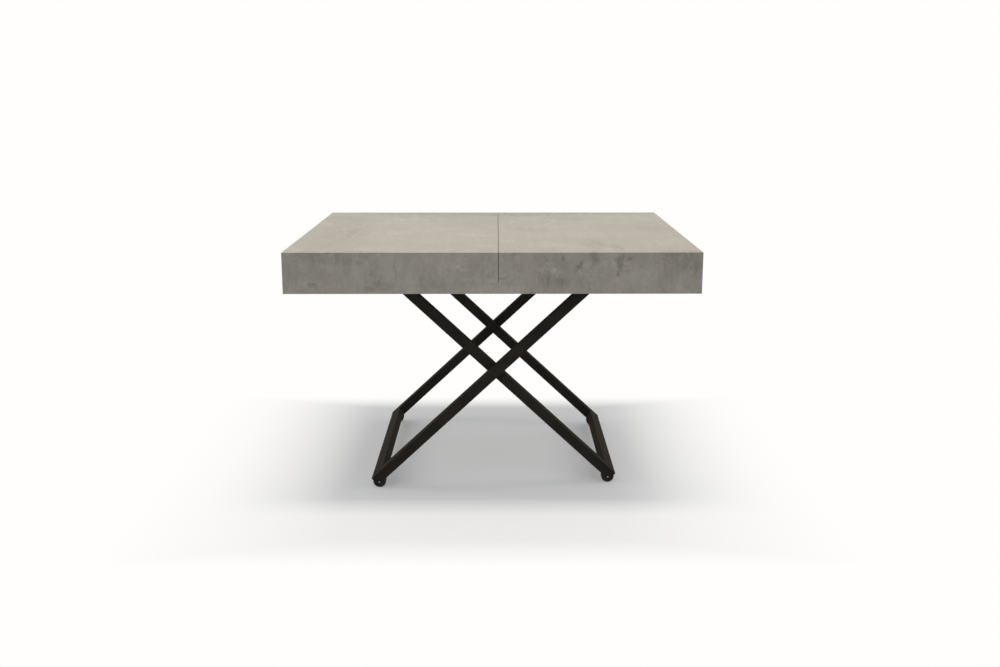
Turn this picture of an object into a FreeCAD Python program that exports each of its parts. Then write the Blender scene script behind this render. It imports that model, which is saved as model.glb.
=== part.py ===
import FreeCAD, Part
import os
import re

import Sketcher

# Convertible coffee and dining table: a split box top on crossed square-tube legs.
# Millimetres. X runs along the table, Y from its front to its back, Z up from the floor.
# The origin is on the floor under the middle of the top.

# Driving dimensions, one spreadsheet cell each
SIZES = {
    # Box top
    "top_length": 1200,
    "top_depth": 800,
    "skirt_height": 120,
    "board": 22,
    "seam_gap": 0.3,
    "seam_offset": 17,
    "pivot_below_top": 80,
    # Crossed legs
    "leg_tube": 30,
    "leg_wall": 2,
    "leg_angle": 43.3,
    "lowest_leg_angle": 15.3,
    "lower_arm": 500,
    "foot_overhang": 10,
    "bar_width": 43,
    "bar_axle_gap": 0.5,
    "upper_arm": 463,
    "leg_inset": 110,
    "legs_offset": 4,
    "frame_gap": 4,
    "knuckle_head": 17,
    "knuckle_plug": 30,
    "plug_clearance": 0.2,
    # Wheels, set into the lower ends of the legs
    "wheel_radius": 20,
    "wheel_width": 20,
    "wheel_hub_radius": 8,
    "wheel_rim_depth": 6,
    "wheel_recess": 2,
    "wheel_edge": 1.5,
    "wheel_slot_margin": 1,
    "wheel_axle_radius": 2,
    "wheel_top_gap": 2.5,
    "axle_head_radius": 2.6,
    "axle_head": 1.5,
    # Pivots
    "running_clearance": 0.05,
    "side_clearance": 0.3,
    "bolt_radius": 5,
    "bolt_head_radius": 8,
    "bolt_head": 2,
    "nut_thickness": 5,
    "bush_radius": 7.5,
    "bush_flange_radius": 12,
    "pivot_rod_radius": 8,
    "spacer_radius": 12,
    # Carrying frame under the top
    "end_gap": 4,
    "bearer_height": 40,
    "bearer_depth": 24,
    "bearer_wall": 3,
    "bearer_side_gap": 3,
    "end_plate": 4,
    "member_width": 25,
    "member_gap": 2,
    "member_wall": 2,
    "shoe_length": 28,
    "shoe_side_gap": 3,
    "pad_thickness": 1.5,
    "pad_inset": 1,
    "pad_end_inset": 60,
    # Rails, runners and their brackets
    "rail_depth": 26,
    "rail_wall": 3,
    "runner_play": 0.4,
    "runner_stand": 2,
    "runner_inset": 10,
    "runner_overlap": 280,
    "bracket_seam_gap": 59,
    "bracket_end_gap": 4,
    "bracket_plate": 3,
    "bracket_lip": 4,
    "bracket_gap": 8,
    "screw_radius": 2,
    "screw_depth": 14,
    "screw_head_radius": 4,
    "screw_head": 2.5,
    "screw_edge": 60,
    # Glue blocks, seam dowels and the extension leaf
    "block_width": 30,
    "block_rise": 15,
    "block_gap": 10,
    "dowel_radius": 4,
    "dowel_reach": 15,
    "dowel_fit": 0.15,
    "dowel_end_gap": 1,
    "dowel_edge": 100,
    "leaf_bearing": 14,
    # Gas spring and its release
    "cylinder_radius": 14,
    "cylinder_bore": 12.5,
    "cylinder_spare": 73,
    "cylinder_start": 20,
    "cylinder_cap": 12,
    "eye_width": 20,
    "spring_rod_radius": 5,
    "spring_rod_free": 30,
    "piston_length": 10,
    "piston_play": 0.3,
    "piston_margin": 4,
    "bracket_block": 16,
    "bracket_block_width": 24,
    "rod_seat": 10,
    "pin_radius": 3,
    "pin_play": 0.1,
    "pin_setback": 1,
    "pin_reach": 8,
    "cam_offset": 40,
    "cam_thickness": 8,
    "lever_gap": 0.3,
    "lever_shaft_radius": 5,
    "lever_arm_width": 20,
    "lever_arm_thickness": 5,
    "lever_drop": 11,
    "lever_end_gap": 28,
    "lever_collar": 2,
    "ear_plate": 3,
    "ear_height": 13,
    "ear_half_width": 20,
    "grip_length": 56,
    "grip_wall": 2.5,
}

# Values worked out from the driving dimensions
DERIVED = {
    "half_length": "top_length / 2",
    "half_depth": "top_depth / 2",
    "half_seam": "seam_gap / 2",
    "half_tube": "leg_tube / 2",
    "tube_inside": "leg_tube / 2 - leg_wall",
    "axle_drop": "wheel_radius + wheel_top_gap - tube_inside",
    "bar_bottom": "wheel_axle_radius + bar_axle_gap - axle_drop",
    "crossing_height": "wheel_radius + lower_arm * sin(leg_angle) + axle_drop * cos(leg_angle)",
    "pivot_height": "crossing_height + upper_arm * sin(leg_angle)",
    "hinge_line": "legs_offset + upper_arm * cos(leg_angle)",
    "slide_line": "legs_offset - upper_arm * cos(leg_angle)",
    "axle_reach": "lower_arm * cos(leg_angle) - axle_drop * sin(leg_angle)",
    "top_height": "pivot_height + pivot_below_top",
    "panel_bottom": "top_height - board",
    "skirt_bottom": "top_height - skirt_height",
    "inside_length": "half_length - board",
    "inside_depth": "half_depth - board",
    "outer_leg_plane": "inside_depth - leg_inset",
    "inner_leg_plane": "outer_leg_plane - leg_tube - frame_gap",
    "foot_end": "lower_arm + foot_overhang",
    "tube_top": "upper_arm - knuckle_head",
    "bearer_inner": "outer_leg_plane + half_tube + bearer_side_gap",
    "bearer_outer": "bearer_inner + bearer_depth",
    "bearer_web": "bearer_outer - bearer_wall",
    "bearer_bottom": "pivot_height - bearer_height / 2",
    "bearer_top": "pivot_height + bearer_height / 2",
    "bearer_end": "inside_length - end_gap - end_plate",
    "member_half": "bearer_height / 2 - bearer_wall - member_gap",
    "rail_outer": "bearer_outer + rail_depth",
    "rail_web": "bearer_outer + rail_wall",
    "runner_inner": "rail_web + runner_play",
    "runner_outer": "rail_outer + runner_stand",
    "runner_reach": "bearer_end - runner_inset",
    "bracket_inner": "runner_outer + bracket_lip",
    "bracket_outer": "inside_depth - bracket_gap",
    "bracket_far": "inside_length - block_width - bracket_end_gap",
    "screw_line": "(bracket_inner + bracket_plate + bracket_outer) / 2",
    "lowered_slide": "hinge_line - 2 * upper_arm * cos(lowest_leg_angle)",
    "cylinder_length": "slide_line - lowered_slide + cylinder_spare",
    "cylinder_near": "slide_line + cylinder_start",
    "cylinder_far": "cylinder_near + cylinder_length",
    "member_near": "cylinder_far + spring_rod_free + bracket_block",
    "member_far": "member_near + member_width",
    "piston_end": "lowered_slide + cylinder_start + cylinder_length - cylinder_cap - piston_margin",
    "lever_line": "member_far + pin_reach + lever_gap + cam_thickness / 2",
    "lever_top": "bearer_bottom - lever_drop",
    "lever_bottom": "lever_top - lever_arm_thickness",
    "lever_reach": "inside_depth - lever_end_gap",
    "leaf_bottom": "bearer_top + pad_thickness",
    "leaf_half_length": "half_depth",
    "leaf_half_width": "bearer_inner + leaf_bearing",
    "dowel_spread": "half_depth - dowel_edge",
}

doc = FreeCAD.newDocument("convertible_table")

sheet = doc.addObject("Spreadsheet::Sheet", "Sizes")
for row, (alias, value) in enumerate(SIZES.items(), start=1):
    sheet.set(f"A{row}", str(value))
    sheet.setAlias(f"A{row}", alias)

derived = doc.addObject("App::VarSet", "Derived")
OWNERS = {alias: "Sizes." for alias in SIZES}
OWNERS.update({name: "Derived." for name in DERIVED})


def scoped(text):
    """Expression text with each size's name led by the object that holds it."""
    return re.sub(r"[a-z][a-z_]*", lambda word: OWNERS.get(word.group(), "") + word.group(), str(text))


for name in DERIVED:
    derived.addProperty("App::PropertyFloat", name)
for name, text in DERIVED.items():
    derived.setExpression(name, scoped(text).replace("Derived.", ""))
doc.recompute()

SIDES = {"front": -1, "rear": 1}
HALVES = {"left": -1, "right": 1}
FULL_TURN = 360
CUT_OVER = 1
parts = []


# Building helpers
def bind(item, prop, text):
    item.setExpression(prop, scoped(text))


def number(text):
    return float(sheet.evalExpression(scoped(text)))


def named(item, label):
    """Marks a finished object as a piece of the table."""
    item.Label = label
    parts.append(item)
    return item


def span(side, near, far):
    """Range between two distances from the middle, on the side that the sign gives."""
    return (near, far) if side > 0 else (f"-({far})", f"-({near})")


def about(middle, half):
    return (f"({middle}) - ({half})", f"({middle}) + ({half})")


def box(name, xs, ys, zs):
    solid = doc.addObject("Part::Box", name)
    for size, axis, (low, high) in zip(("Length", "Width", "Height"), "xyz", (xs, ys, zs)):
        bind(solid, size, f"({high}) - ({low})")
        bind(solid, f"Placement.Base.{axis}", low)
    return solid


TURNS = {"x": ((0, 1, 0), 90), "y": ((1, 0, 0), -90), "z": ((0, 0, 1), 0)}


def cylinder(name, axis, radius, ends, centre):
    """Round bar along one axis; centre gives its place on the other two."""
    solid = doc.addObject("Part::Cylinder", name)
    direction, angle = TURNS[axis]
    turn = FreeCAD.Rotation(FreeCAD.Vector(*direction), angle)
    solid.Placement = FreeCAD.Placement(FreeCAD.Vector(), turn)
    bind(solid, "Radius", radius)
    bind(solid, "Height", f"({ends[1]}) - ({ends[0]})")
    bind(solid, f"Placement.Base.{axis}", ends[0])
    for other, place in zip([letter for letter in "xyz" if letter != axis], centre):
        bind(solid, f"Placement.Base.{other}", place)
    return solid


WEDGE_TURNS = {"x": ((0, 0, 1), -90), "y": ((0, 0, 1), 0), "z": ((1, 0, 0), 90)}


def mitred_board(name, axis, thickness, low_face, high_face):
    """Board whose two faces, given as (width range, height range), differ by its mitres."""
    board = doc.addObject("Part::Wedge", name)
    direction, angle = WEDGE_TURNS[axis]
    turn = FreeCAD.Rotation(FreeCAD.Vector(*direction), angle)
    board.Placement = FreeCAD.Placement(FreeCAD.Vector(), turn)
    (across, up), (far_across, far_up) = low_face, high_face
    ranges = {"X": across, "Y": thickness, "Z": up, "X2": far_across, "Z2": far_up}
    for letter, (low, high) in ranges.items():
        bind(board, f"{letter}min", low)
        bind(board, f"{letter}max", high)
    return board


def fuse(name, *solids):
    joined = doc.addObject("Part::MultiFuse", name)
    joined.Shapes = list(solids)
    joined.Refine = True
    return joined


def cut(name, base, *tools):
    result = doc.addObject("Part::Cut", name)
    result.Base = base
    result.Tool = tools[0] if len(tools) == 1 else fuse(name + "_cutters", *tools)
    return result


def group(name, *solids):
    """Identical small pieces kept as separate solids of one node."""
    bundle = doc.addObject("Part::Compound", name)
    bundle.Links = list(solids)
    return bundle


def section(body, name, role, points):
    """Closed polygon on one of the body's planes, each corner driven from the origin."""
    sketch = body.newObject("Sketcher::SketchObject", name)
    plane = [feature for feature in body.Origin.OriginFeatures if feature.Role == role][0]
    sketch.AttachmentSupport = [(plane, "")]
    sketch.MapMode = "FlatFace"
    corners = [FreeCAD.Vector(number(across), number(up), 0) for across, up in points]
    for index, corner in enumerate(corners):
        following = corners[(index + 1) % len(corners)]
        sketch.addGeometry(Part.LineSegment(corner, following))
    for index in range(len(corners)):
        following = (index + 1) % len(corners)
        sketch.addConstraint(Sketcher.Constraint("Coincident", index, 2, following, 1))
    for index, (across, up) in enumerate(points):
        for kind, text in (("DistanceX", across), ("DistanceY", up)):
            place = Sketcher.Constraint(kind, -1, 1, index, 1, number(text))
            bind(sketch, f"Constraints[{sketch.addConstraint(place)}]", text)
    return sketch


def extrusion(name, points, xs):
    """Bar of constant (y, z) section along X."""
    body = doc.addObject("PartDesign::Body", name)
    sketch = section(body, name + "_section", "YZ_Plane", points)
    pad = body.newObject("PartDesign::Pad", name + "_pad")
    pad.Profile = sketch
    bind(pad, "Length", f"({xs[1]}) - ({xs[0]})")
    bind(body, "Placement.Base.x", xs[0])
    return body


def turned(name, points, centre):
    """Solid of revolution about Y, from (radius, y) corners."""
    body = doc.addObject("PartDesign::Body", name)
    sketch = section(body, name + "_section", "XY_Plane", points)
    revolution = body.newObject("PartDesign::Revolution", name + "_turn")
    revolution.Profile = sketch
    revolution.ReferenceAxis = (sketch, ["V_Axis"])
    revolution.Angle = FULL_TURN
    for axis, place in zip("xyz", centre):
        bind(body, f"Placement.Base.{axis}", place)
    return body


def mirrored(side, points):
    return [(f"{side} * ({across})", up) for across, up in points]


# Leg frames: each is modelled flat along X about the crossing, then turned to the leg angle
def tilted(item, hand):
    """Turns a flat leg piece about the crossing; hand is +1 where the foot is on the left."""
    turn = FreeCAD.Rotation(FreeCAD.Vector(0, 1, 0), 1)
    item.Placement = FreeCAD.Placement(FreeCAD.Vector(), turn)
    bind(item, "Placement.Base.x", "legs_offset")
    bind(item, "Placement.Base.z", "crossing_height")
    bind(item, "Placement.Rotation.Angle", f"{-hand} * leg_angle")
    return item


def leg(label, hand, middle, pivot_hole):
    """Hollow leg, open at both ends, with a slot under its lower end for the wheel."""
    along = span(-hand, "-(tube_top)", "foot_end")
    hollow = span(-hand, f"-(tube_top + {CUT_OVER})", f"foot_end + {CUT_OVER}")
    slot = span(-hand, "lower_arm - wheel_radius - wheel_slot_margin", f"foot_end + {CUT_OVER}")
    through = about(middle, f"half_tube + {CUT_OVER}")
    tube = box(label + "_tube", along, about(middle, "half_tube"), about("0", "half_tube"))
    inside = box(label + "_inside", hollow, about(middle, "tube_inside"), about("0", "tube_inside"))
    wheel_slot = box(label + "_slot", slot, about(middle, "wheel_width / 2 + wheel_slot_margin"),
                     (f"-(half_tube + {CUT_OVER})", "0"))
    axle_hole = cylinder(label + "_axle_hole", "y", "wheel_axle_radius + running_clearance", through,
                         (f"{-hand} * lower_arm", "-(axle_drop)"))
    bolt_hole = cylinder(label + "_pivot_hole", "y", pivot_hole, through, ("0", "0"))
    return named(tilted(cut(label, tube, inside, wheel_slot, axle_hole, bolt_hole), hand), label)


def base_bar(label, hand, plane):
    """Tube laid flat between the two feet of one frame, flush with the legs' tops, over the axle."""
    along = span(-hand, "foot_end - bar_width", "foot_end")
    hollow = span(-hand, "foot_end - bar_width + leg_wall", "foot_end - leg_wall")
    reach = f"{plane} - half_tube"
    tube = box(label + "_tube", along, about("0", reach), ("bar_bottom", "half_tube"))
    inside = box(label + "_inside", hollow, about("0", f"{reach} + {CUT_OVER}"),
                 ("bar_bottom + leg_wall", "tube_inside"))
    return named(tilted(cut(label, tube, inside), hand), label)


def knuckle(name, hand, middle):
    """Moulded end piece of a leg: a plug in the tube and a round head bored for its rod."""
    width = about(middle, "half_tube")
    plug_half = "tube_inside - plug_clearance"
    head = box(name + "_head", span(hand, "tube_top", "upper_arm"), width, about("0", "half_tube"))
    eye = cylinder(name + "_eye", "y", "half_tube", width, (f"{hand} * upper_arm", "0"))
    plug = box(name + "_plug", span(hand, "tube_top - knuckle_plug", "tube_top"),
               about(middle, plug_half), about("0", plug_half))
    bore = cylinder(name + "_bore", "y", "pivot_rod_radius + running_clearance",
                    about(middle, f"half_tube + {CUT_OVER}"), (f"{hand} * upper_arm", "0"))
    return tilted(cut(name, fuse(name + "_blank", head, eye, plug), bore), hand)


def leg_frame(prefix, hand, plane, pivot_hole):
    knuckles = []
    for end, side in SIDES.items():
        middle = f"{side} * {plane}"
        leg(f"{prefix}_leg_{end}", hand, middle, pivot_hole)
        knuckles.append(knuckle(f"{prefix}_knuckle_{end}", hand, middle))
    base_bar(f"{prefix}_base_bar", hand, plane)
    named(group(f"{prefix}_knuckles", *knuckles), f"{prefix}_knuckles")


leg_frame("outer", 1, "outer_leg_plane", "bolt_radius + running_clearance")
leg_frame("inner", -1, "inner_leg_plane", "bush_radius")


# Crossing pivots: bolts held by the outer legs, bushes in the inner legs
def crossing_pivots():
    centre = ("legs_offset", "crossing_height")
    face_outer = "outer_leg_plane + half_tube"
    face_inner = "inner_leg_plane - half_tube"
    bush_face = "inner_leg_plane + half_tube"
    nut_face = f"{face_inner} - side_clearance"
    bolts, nuts, bushes = [], [], []
    for end, side in SIDES.items():
        shank = cylinder(f"bolt_shank_{end}", "y", "bolt_radius",
                         span(side, f"{nut_face} - nut_thickness", face_outer), centre)
        head = cylinder(f"bolt_head_{end}", "y", "bolt_head_radius",
                        span(side, face_outer, f"{face_outer} + bolt_head"), centre)
        bolts.append(fuse(f"bolt_{end}", shank, head))
        nut_ends = span(side, f"{nut_face} - nut_thickness", nut_face)
        nut = cylinder(f"nut_blank_{end}", "y", "bolt_head_radius", nut_ends, centre)
        thread = cylinder(f"nut_hole_{end}", "y", "bolt_radius + running_clearance", nut_ends, centre)
        nuts.append(cut(f"nut_{end}", nut, thread))
        sleeve = cylinder(f"bush_sleeve_{end}", "y", "bush_radius",
                          span(side, face_inner, bush_face), centre)
        flange = cylinder(f"bush_flange_{end}", "y", "bush_flange_radius",
                          span(side, bush_face, f"{bush_face} + frame_gap - side_clearance"), centre)
        bore = cylinder(f"bush_bore_{end}", "y", "bolt_radius + running_clearance",
                        span(side, face_inner, face_outer), centre)
        bushes.append(cut(f"bush_{end}", fuse(f"bush_blank_{end}", sleeve, flange), bore))
    named(group("pivot_bolts", *bolts), "pivot_bolts")
    named(group("pivot_nuts", *nuts), "pivot_nuts")
    named(group("pivot_bushes", *bushes), "pivot_bushes")


crossing_pivots()


# Wheels and their axles
def wheel(label, reach, middle):
    half = "wheel_width / 2"
    recess = f"{half} - wheel_recess"
    bore = "wheel_axle_radius + running_clearance"
    rim = "wheel_radius - wheel_rim_depth"
    tread = "wheel_radius - wheel_edge"
    upper = [(bore, half), ("wheel_hub_radius", half), ("wheel_hub_radius", recess), (rim, recess),
             (rim, half), (tread, half), ("wheel_radius", f"{half} - wheel_edge")]
    lower = [(radius, f"-({along})") for radius, along in reversed(upper)]
    named(turned(label, upper + lower, (reach, middle, "wheel_radius")), label)


def wheel_axle(label, reach, plane):
    face = f"{plane} + half_tube"
    seat = f"{face} + side_clearance"
    centre = (reach, "wheel_radius")
    rod = cylinder(label + "_rod", "y", "wheel_axle_radius", about("0", face), centre)
    heads = []
    for end, side in SIDES.items():
        neck = cylinder(f"{label}_neck_{end}", "y", "wheel_axle_radius",
                        span(side, face, seat), centre)
        head = cylinder(f"{label}_head_{end}", "y", "axle_head_radius",
                        span(side, seat, f"{seat} + axle_head"), centre)
        heads += [neck, head]
    named(fuse(label, rod, *heads), label)


FOOT_PLANES = {"left": "outer_leg_plane", "right": "inner_leg_plane"}
for half, plane in FOOT_PLANES.items():
    hand = HALVES[half]
    reach = f"legs_offset + {hand} * axle_reach"
    wheel_axle(f"{half}_axle", reach, plane)
    for end, side in SIDES.items():
        wheel(f"{half}_wheel_{end}", reach, f"{side} * {plane}")


# Carrying frame: two bearers, rails outside them, end plates and a cross member
def carrying_frame():
    full = about("0", "bearer_end")
    low, high, wall = "bearer_bottom", "bearer_top", "bearer_wall"
    channel = [("bearer_outer", low), ("bearer_outer", high), ("bearer_inner", high),
               ("bearer_inner", f"{high} - {wall}"), ("bearer_web", f"{high} - {wall}"),
               ("bearer_web", f"{low} + {wall}"), ("bearer_inner", f"{low} + {wall}"), ("bearer_inner", low)]
    shelf_low, shelf_high = about("pivot_height", "rail_wall / 2")
    double_channel = [("bearer_outer", low), ("rail_outer", low), ("rail_outer", f"{low} + rail_wall"),
                      ("rail_web", f"{low} + rail_wall"), ("rail_web", shelf_low), ("rail_outer", shelf_low),
                      ("rail_outer", shelf_high), ("rail_web", shelf_high),
                      ("rail_web", f"{high} - rail_wall"), ("rail_outer", f"{high} - rail_wall"),
                      ("rail_outer", high), ("bearer_outer", high)]
    for end, side in SIDES.items():
        named(extrusion(f"bearer_{end}", mirrored(side, channel), full), f"bearer_{end}")
        named(extrusion(f"rail_{end}", mirrored(side, double_channel), full), f"rail_{end}")
    plates = [box(f"end_plate_{half}", span(hand, "bearer_end", "bearer_end + end_plate"),
                  about("0", "bearer_outer"), (low, high)) for half, hand in HALVES.items()]
    named(group("end_plates", *plates), "end_plates")


def cross_member():
    along = ("member_near", "member_far")
    tube = box("member_tube", along, about("0", "bearer_web"), about("pivot_height", "member_half"))
    inside = box("member_inside", ("member_near + member_wall", "member_far - member_wall"),
                 about("0", f"bearer_web + {CUT_OVER}"),
                 about("pivot_height", "member_half - member_wall"))
    pin_hole = cylinder("member_pin_hole", "x", "pin_radius + pin_play",
                        (f"member_near - {CUT_OVER}", f"member_far + {CUT_OVER}"), ("0", "pivot_height"))
    named(cut("cross_member", tube, inside, pin_hole), "cross_member")


def spacers(label, middle, ends):
    """Sleeves on a pivot rod, one at each end."""
    sleeves = []
    for end, side in SIDES.items():
        reach = span(side, *ends)
        sleeve = cylinder(f"{label}_{end}_blank", "y", "spacer_radius", reach, (middle, "pivot_height"))
        bore = cylinder(f"{label}_{end}_bore", "y", "pivot_rod_radius + running_clearance", reach,
                        (middle, "pivot_height"))
        sleeves.append(cut(f"{label}_{end}", sleeve, bore))
    named(group(label, *sleeves), label)


def top_hinge():
    rod = cylinder("hinge_rod", "y", "pivot_rod_radius", about("0", "bearer_web"),
                   ("hinge_line", "pivot_height"))
    named(rod, "hinge_rod")
    spacers("hinge_spacers", "hinge_line", ("outer_leg_plane + half_tube + side_clearance", "bearer_web"))


carrying_frame()
cross_member()
top_hinge()


# Slide carriage: the inner frame's rod, its shoes in the bearers and the gas spring's cylinder
def slide_carriage():
    middle = "slide_line"
    shoe_near = "bearer_inner + shoe_side_gap"
    shoe_far = "bearer_web - shoe_side_gap"
    rod = cylinder("slide_rod", "y", "pivot_rod_radius", about("0", shoe_far), (middle, "pivot_height"))
    named(rod, "slide_rod")
    spacers("slide_spacers", middle, ("inner_leg_plane + half_tube + side_clearance", shoe_near))
    height = "bearer_height / 2 - bearer_wall - side_clearance"
    shoes = []
    for end, side in SIDES.items():
        reach = span(side, shoe_near, shoe_far)
        block = box(f"shoe_block_{end}", about(middle, "shoe_length / 2"), reach,
                    about("pivot_height", height))
        bore = cylinder(f"shoe_bore_{end}", "y", "pivot_rod_radius + running_clearance", reach,
                        (middle, "pivot_height"))
        shoes.append(cut(f"shoe_{end}", block, bore))
    named(group("slide_shoes", *shoes), "slide_shoes")


def gas_spring():
    start, stop = "cylinder_near", "cylinder_far"
    line = ("0", "pivot_height")
    tube = cylinder("spring_tube", "x", "cylinder_radius", (start, stop), line)
    neck = cylinder("spring_neck", "x", "pivot_rod_radius", ("slide_line", start), line)
    eye = cylinder("spring_eye", "y", "cylinder_radius", about("0", "eye_width / 2"),
                   ("slide_line", "pivot_height"))
    chamber = cylinder("spring_chamber", "x", "cylinder_bore",
                       (f"{start} + cylinder_cap", f"{stop} - cylinder_cap"), line)
    gland = cylinder("spring_gland", "x", "spring_rod_radius + running_clearance",
                     (f"{stop} - cylinder_cap", f"{stop} + {CUT_OVER}"), line)
    eye_bore = cylinder("spring_eye_bore", "y", "pivot_rod_radius + running_clearance",
                        about("0", f"eye_width / 2 + {CUT_OVER}"), ("slide_line", "pivot_height"))
    blank = fuse("spring_blank", tube, neck, eye)
    named(cut("gas_cylinder", blank, chamber, gland, eye_bore), "gas_cylinder")
    rod_stop = "member_near - bracket_block + rod_seat"
    rod = cylinder("spring_rod", "x", "spring_rod_radius", ("piston_end - piston_length", rod_stop), line)
    piston = cylinder("spring_piston", "x", "cylinder_bore - piston_play",
                      ("piston_end - piston_length", "piston_end"), line)
    named(fuse("gas_rod", rod, piston), "gas_rod")
    half = "bracket_block_width / 2"
    block = box("rod_block", ("member_near - bracket_block", "member_near"), about("0", half),
                about("pivot_height", half))
    seat = cylinder("rod_block_seat", "x", "spring_rod_radius + running_clearance",
                    (f"member_near - bracket_block - {CUT_OVER}", rod_stop), line)
    pin_hole = cylinder("rod_block_pin_hole", "x", "pin_radius + pin_play",
                        (rod_stop, f"member_near + {CUT_OVER}"), line)
    named(cut("rod_bracket", block, seat, pin_hole), "rod_bracket")


slide_carriage()
gas_spring()


# Release: a lever on a vertical shaft presses the spring's valve pin
def release():
    pin = cylinder("release_pin", "x", "pin_radius",
                   ("member_near - pin_setback", "member_far + pin_reach"), ("0", "pivot_height"))
    named(pin, "release_pin")
    spot = ("lever_line", "-(cam_offset)")
    ear_reach = ("member_far", "lever_line + lever_shaft_radius + ear_plate")
    ear_width = about("-(cam_offset)", "ear_half_width")
    web = box("ear_web", ("member_far", "member_far + ear_plate"), ear_width,
              about("pivot_height", "ear_height"))
    upper = box("ear_upper", ear_reach, ear_width,
                ("pivot_height + ear_height - ear_plate", "pivot_height + ear_height"))
    lower = box("ear_lower", ear_reach, ear_width,
                ("pivot_height - ear_height", "pivot_height - ear_height + ear_plate"))
    shaft_top = "pivot_height + ear_height + lever_gap + lever_collar"
    bore = cylinder("ear_bore", "z", "lever_shaft_radius + running_clearance",
                    ("lever_bottom", shaft_top), spot)
    named(cut("lever_bracket", fuse("ear_blank", web, upper, lower), bore), "lever_bracket")
    shaft = cylinder("lever_shaft", "z", "lever_shaft_radius", ("lever_bottom", shaft_top), spot)
    collar = cylinder("lever_collar", "z", "lever_shaft_radius + lever_collar",
                      ("pivot_height + ear_height + lever_gap", shaft_top), spot)
    cam = box("lever_cam", about("lever_line", "cam_thickness / 2"),
              ("-(cam_offset + cam_thickness)", "cam_thickness"), about("pivot_height", "cam_thickness / 2"))
    arm = box("lever_arm", about("lever_line", "lever_arm_width / 2"),
              ("-(lever_reach)", "-(cam_offset - lever_arm_width / 2)"), ("lever_bottom", "lever_top"))
    named(fuse("release_lever", shaft, collar, cam, arm), "release_lever")
    grip = box("grip_block", about("lever_line", "lever_arm_width / 2 + grip_wall"),
               ("-(lever_reach + grip_wall)", "-(lever_reach - grip_length)"),
               ("lever_bottom - grip_wall", "lever_top + grip_wall"))
    socket = box("grip_socket", about("lever_line", "lever_arm_width / 2"),
                 ("-(lever_reach)", f"-(lever_reach - grip_length - {CUT_OVER})"),
                 ("lever_bottom", "lever_top"))
    named(cut("lever_grip", grip, socket), "lever_grip")


release()


# Extension leaf, stored turned by a quarter on the bearers
def stored_leaf():
    pads = [box(f"pad_{end}", about("0", "leaf_half_length - pad_end_inset"),
                span(side, "bearer_inner + pad_inset", "bearer_outer - pad_inset"),
                ("bearer_top", "leaf_bottom"))
            for end, side in SIDES.items()]
    named(group("leaf_pads", *pads), "leaf_pads")
    leaf = box("extension_leaf", about("0", "leaf_half_length"), about("0", "leaf_half_width"),
               ("leaf_bottom", "leaf_bottom + board"))
    named(leaf, "extension_leaf")


stored_leaf()


# The two halves of the top: mitred boards, runners, brackets, glue blocks and dowels
def dowel_rods(name, radius, ends):
    """Round bars across the seam, level with the middle of the top boards."""
    places = ("-(dowel_spread)", "0", "dowel_spread")
    return [cylinder(f"{name}_{index}", "x", radius, ends, (across, "top_height - board / 2"))
            for index, across in enumerate(places)]


def seam_edge(hand):
    """Distance from the middle to the seam edge of one half."""
    return f"(half_seam + {hand} * seam_offset)"


def bracket_start(hand):
    return f"({seam_edge(hand)} + bracket_seam_gap)"


def screw_spots(hand):
    """Places of the bracket screws of one half, as (x, y) texts."""
    near = f"{bracket_start(hand)} + screw_edge"
    far = "bracket_far - screw_edge"
    return [(f"{hand} * ({along})", f"{side} * screw_line")
            for along in (near, f"({near} + {far}) / 2", far) for side in SIDES.values()]


SCREW_ENDS = ("panel_bottom - bracket_plate", "panel_bottom + screw_depth")


def boards(half, hand, screw_holes):
    """Panel and aprons of one half, mitred where they meet."""
    seam = seam_edge(hand)
    outer = span(hand, seam, "half_length")
    inner = span(hand, seam, "inside_length")
    reach = span(hand, seam, f"{seam} + dowel_reach + dowel_end_gap")
    sockets = dowel_rods(f"{half}_dowel_socket", "dowel_radius + dowel_fit", reach)
    blank = mitred_board(f"{half}_panel_blank", "z", ("panel_bottom", "top_height"),
                         (inner, about("0", "inside_depth")), (outer, about("0", "half_depth")))
    named(cut(f"{half}_panel", blank, *screw_holes, *sockets), f"{half}_panel")
    tall, short = ("skirt_bottom", "top_height"), ("skirt_bottom", "panel_bottom")
    faces = [(outer, tall), (inner, short)]
    front = mitred_board(f"{half}_front_apron", "y", ("-(half_depth)", "-(inside_depth)"), *faces)
    named(front, f"{half}_front_apron")
    rear = mitred_board(f"{half}_rear_apron", "y", ("inside_depth", "half_depth"), *reversed(faces))
    named(rear, f"{half}_rear_apron")
    end_faces = [(about("0", "inside_depth"), short), (about("0", "half_depth"), tall)]
    end_apron = mitred_board(f"{half}_end_apron", "x", span(hand, "inside_length", "half_length"),
                             *(end_faces if hand > 0 else reversed(end_faces)))
    named(end_apron, f"{half}_end_apron")


def bracket_screws(half, spots):
    under = "panel_bottom - bracket_plate"
    screws = []
    for index, spot in enumerate(spots):
        rod = cylinder(f"{half}_screw_shank_{index}", "z", "screw_radius", SCREW_ENDS, spot)
        head = cylinder(f"{half}_screw_head_{index}", "z", "screw_head_radius",
                        (f"{under} - screw_head", under), spot)
        screws.append(fuse(f"{half}_screw_{index}", rod, head))
    named(group(f"{half}_bracket_screws", *screws), f"{half}_bracket_screws")


def glue_blocks(half, hand):
    """Square blocks in the corners, from above the skirt's lower edge to under the brackets."""
    heights = ("skirt_bottom + block_rise", "panel_bottom - bracket_plate - block_gap")
    blocks = [box(f"{half}_block_{end}", span(hand, "inside_length - block_width", "inside_length"),
                  span(side, "inside_depth - block_width", "inside_depth"), heights)
              for end, side in SIDES.items()]
    named(group(f"{half}_glue_blocks", *blocks), f"{half}_glue_blocks")


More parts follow.
